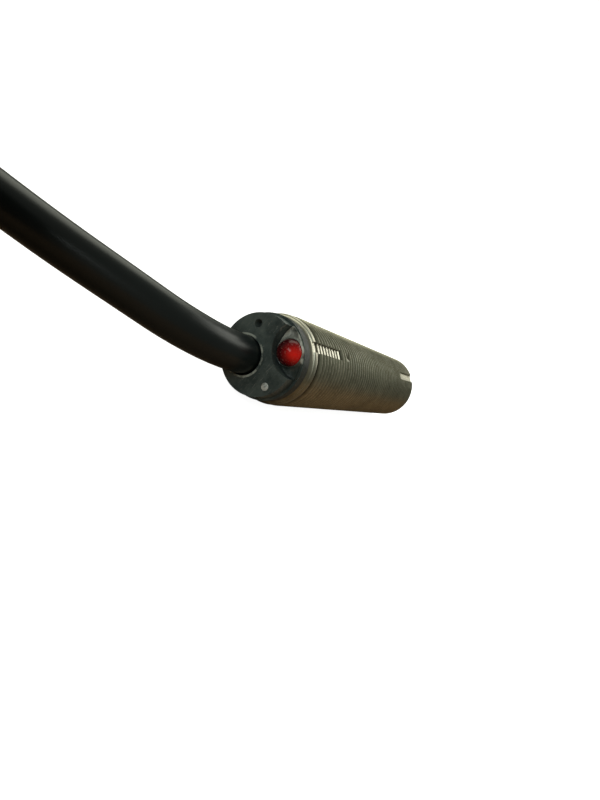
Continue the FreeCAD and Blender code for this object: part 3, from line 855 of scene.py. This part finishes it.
def build_tie(material):
    """A flat strap round the coil's section."""
    inner_r, outer_r = COIL_COLUMN_R[0] - CABLE_R, COIL_COLUMN_R[-1] + CABLE_R
    middle = (inner_r + outer_r) / 2
    half = (outer_r - inner_r) / 2 + 0.06
    low, high = TIE_THICKNESS - 0.02, COIL_TOP + 0.05
    path = []
    corners = [
        (middle + half, high, 0), (middle - half, high, 90),
        (middle - half, low, 180), (middle + half, low, 270),
    ]
    for u, z, start in corners:
        cu = u - TIE_CORNER_R * (1 if u > middle else -1)
        cz = z - TIE_CORNER_R * (1 if z > low else -1)
        for step in range(9):
            turn = math.radians(start + 90 * step / 8)
            path.append((cu, cz, math.cos(turn), math.sin(turn)))
    thick = TIE_THICKNESS - 0.06
    section = [(0.0, -0.5), (0.0, 0.5), (0.35, 0.5), (1.0, 0.46), (1.0, -0.46), (0.35, -0.5)]
    verts, faces = [], []
    turn = math.radians(TIE_ANGLE)
    for cu, cz, nu, nz in path:
        for depth, across in section:
            reach = TIE_CORNER_R + thick * depth
            u = cu + reach * nu
            z = cz + reach * nz
            w = across * TIE_WIDTH
            x = COIL_CENTRE[0] + u * math.cos(turn) - w * math.sin(turn)
            y = COIL_CENTRE[1] + u * math.sin(turn) + w * math.cos(turn)
            verts.append((x * MM, y * MM, z * MM))
    count = len(section)
    for ring in range(len(path)):
        here, there = ring * count, ((ring + 1) % len(path)) * count
        for step in range(count):
            onward = (step + 1) % count
            faces.append((here + step, here + onward, there + onward, there + step))
    mesh = bpy.data.meshes.new("coil_strap")
    mesh.from_pydata(verts, [], faces)
    tidy_mesh(mesh)
    soften(mesh)
    strap = new_object("coil_strap", mesh)
    give(strap, material)
    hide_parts("coil_tie")
    return strap


# ---- materials of the pieces that stay as CAD made them

def finish_inner_pieces():
    """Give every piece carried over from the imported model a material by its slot."""
    by_slot = {
        "brass_shield": metal("shield_brass", (0.55, 0.38, 0.16), (0.72, 0.54, 0.26)),
        "ferrite": moulded("sintered_ferrite", (0.035, 0.035, 0.038), (0.07, 0.07, 0.075)),
        "bobbin_plastic": moulded("natural_nylon", (0.60, 0.57, 0.48), (0.72, 0.69, 0.60)),
        "copper_wire": metal("enamelled_copper", (0.50, 0.19, 0.07), (0.68, 0.30, 0.12)),
        "board_laminate": moulded("board_green", (0.015, 0.12, 0.05), (0.03, 0.20, 0.08)),
        "chip_black": moulded("chip_epoxy", (0.012, 0.012, 0.013), (0.03, 0.03, 0.03)),
        "tinned_metal": metal("tinned_legs", (0.55, 0.55, 0.53), (0.75, 0.75, 0.72)),
        "ceramic_tan": moulded("chip_ceramic", (0.35, 0.24, 0.14), (0.50, 0.37, 0.23)),
        "tantalum_yellow": moulded("capacitor_yellow", (0.65, 0.38, 0.05), (0.80, 0.50, 0.10)),
        "wire_brown": moulded("brown_insulation", (0.060, 0.022, 0.008), (0.095, 0.038, 0.016)),
        "wire_blue": moulded("blue_insulation", (0.008, 0.055, 0.28), (0.016, 0.085, 0.38)),
        "wire_black": moulded("black_insulation", (0.008, 0.008, 0.008), (0.020, 0.020, 0.020)),
        "lamp_body": moulded("lamp_epoxy", (0.55, 0.03, 0.02), (0.80, 0.08, 0.05), (0.1, 0.2)),
        "potting": moulded("potting_epoxy", (0.03, 0.03, 0.03), (0.06, 0.06, 0.055)),
        "black_pvc": jacket_pvc(),
        "tinned_copper": metal("tinned_strands", (0.55, 0.53, 0.49), (0.75, 0.73, 0.69)),
    }
    slots = {part["node"]: part["material_slot"] for part in frame["record"]["subparts"]}
    for name, piece in nodes.items():
        if slots[name] in by_slot:
            give(piece, by_slot[slots[name]])
    return by_slot


# ---- stage, light and camera

FLOOR_HALF = 6.0          # metres
FLOOR_GLOW = 0.94
ROOM_COLOUR = (0.130, 0.137, 0.122)
ROOM_STRENGTH = 1.05


def build_stage():
    """Floor and surroundings: white to the camera, a dim brown floor and dim room to all else."""
    half = FLOOR_HALF
    verts = [(-half, -half, 0), (half, -half, 0), (half, half, 0), (-half, half, 0)]
    floor = new_object("floor", mesh_from("floor", verts, [(0, 1, 2, 3)]), None)
    recipe = Recipe("pale_floor").fixed(Roughness=0.6)
    recipe.colour(recipe.mix(recipe.noise(60.0, 3.0), (0.35, 0.215, 0.13), (0.42, 0.26, 0.16)))
    white = recipe.add("ShaderNodeEmission")
    white.inputs["Strength"].default_value = FLOOR_GLOW
    pale = recipe.add("ShaderNodeBsdfDiffuse")
    pale.inputs["Color"].default_value = (0.95, 0.95, 0.95, 1.0)
    lit = recipe.add("ShaderNodeAddShader")
    recipe.join(white.outputs[0], lit.inputs[0])
    recipe.join(pale.outputs[0], lit.inputs[1])
    choose = recipe.add("ShaderNodeMixShader")
    recipe.join(recipe.add("ShaderNodeLightPath").outputs["Is Camera Ray"], choose.inputs[0])
    recipe.join(recipe.shader.outputs[0], choose.inputs[1])
    recipe.join(lit.outputs[0], choose.inputs[2])
    recipe.join(choose.outputs[0], recipe.tree.nodes["Material Output"].inputs["Surface"])
    give(floor, recipe.material)
    world = bpy.data.worlds.new("studio")
    bpy.context.scene.world = world
    world.use_nodes = True
    tree = world.node_tree
    seen = tree.nodes.new("ShaderNodeLightPath").outputs["Is Camera Ray"]
    room = tree.nodes.new("ShaderNodeMix")
    room.data_type = "RGBA"
    room.inputs[6].default_value = (*ROOM_COLOUR, 1.0)
    room.inputs[7].default_value = (1.0, 1.0, 1.0, 1.0)
    tree.links.new(seen, room.inputs["Factor"])
    tree.links.new(room.outputs[2], tree.nodes["Background"].inputs["Color"])
    tree.nodes["Background"].inputs["Strength"].default_value = ROOM_STRENGTH


def soft_box(name, target, direction, distance, size, radiance, colour=(1, 1, 1)):
    """An area light that looks at a target from a direction. Millimetres."""
    light = bpy.data.lights.new(name, "AREA")
    light.shape = "RECTANGLE"
    light.size, light.size_y = size[0] * MM, size[1] * MM
    light.energy = radiance * math.pi * light.size * light.size_y
    light.color = colour
    lamp = bpy.data.objects.new(name, light)
    bpy.context.scene.collection.objects.link(lamp)
    towards = Vector(direction).normalized()
    lamp.location = (Vector(target) + towards * distance) * MM
    lamp.rotation_euler = towards.to_track_quat("Z", "Y").to_euler()


CAMERA_AT = (29.10, -84.20, 22.09)
CAMERA_HEADING = -20.466   # degrees from +Y towards +X
CAMERA_DIP = 14.995        # degrees below level
CAMERA_ROLL = -40.681      # degrees the top of the view leans to the right
FOCAL_LENGTH = 24.3


def build_camera():
    heading, dip = math.radians(CAMERA_HEADING), math.radians(CAMERA_DIP)
    forward = Vector((
        math.sin(heading) * math.cos(dip), math.cos(heading) * math.cos(dip), -math.sin(dip)
    ))
    right = forward.cross(Vector((0, 0, 1))).normalized()
    up = right.cross(forward)
    roll = math.radians(CAMERA_ROLL)
    tilted_up = up * math.cos(roll) + right * math.sin(roll)
    tilted_right = forward.cross(tilted_up)
    turn = Matrix((tilted_right, tilted_up, -forward)).transposed()
    data = bpy.data.cameras.new("camera")
    data.lens = FOCAL_LENGTH
    data.sensor_width = 36.0
    data.clip_start = 0.002
    camera = bpy.data.objects.new("camera", data)
    bpy.context.scene.collection.objects.link(camera)
    camera.matrix_world = Matrix.Translation(Vector(CAMERA_AT) * MM) @ turn.to_4x4()
    bpy.context.scene.camera = camera


# ---- put together

bpy.context.scene.view_settings.view_transform = "Standard"
black_plastic = worn_cap_plastic()
finishes = finish_inner_pieces()
build_barrel()
build_rear_cap(black_plastic)
build_lens()
build_pocket_resin()
build_fill_plug()
build_face_cap(black_plastic)
cable = build_cable(finishes["black_pvc"])
strap = build_tie(moulded("strap_nylon", (0.010, 0.010, 0.011), (0.022, 0.022, 0.023), (0.5, 0.7), 2500))
build_stage()
soft_box("window", (0, 0, 6), (0.0, 1.0, 0.38), 600, (520, 130), 2.4, (1.0, 0.99, 0.90))
soft_box("ceiling", (0, 0, 6), (0.22, 0.62, 0.85), 600, (420, 260), 2.0, (0.98, 1.0, 0.90))
soft_box("sky", (-20, -40, 6), (-0.80, 0.45, 0.95), 600, (560, 440), 1.3, (0.98, 1.0, 0.84))
soft_box("fill", (0, 0, 6), (0.05, -1.0, 0.42), 500, (260, 150), 3.2, (0.90, 1.0, 0.98))
soft_box("lamp", (2, -28, 8), (-0.66, -0.72, 0.10), 250, (10, 10), 70.0)
build_camera()

bpy.context.view_layer.update()
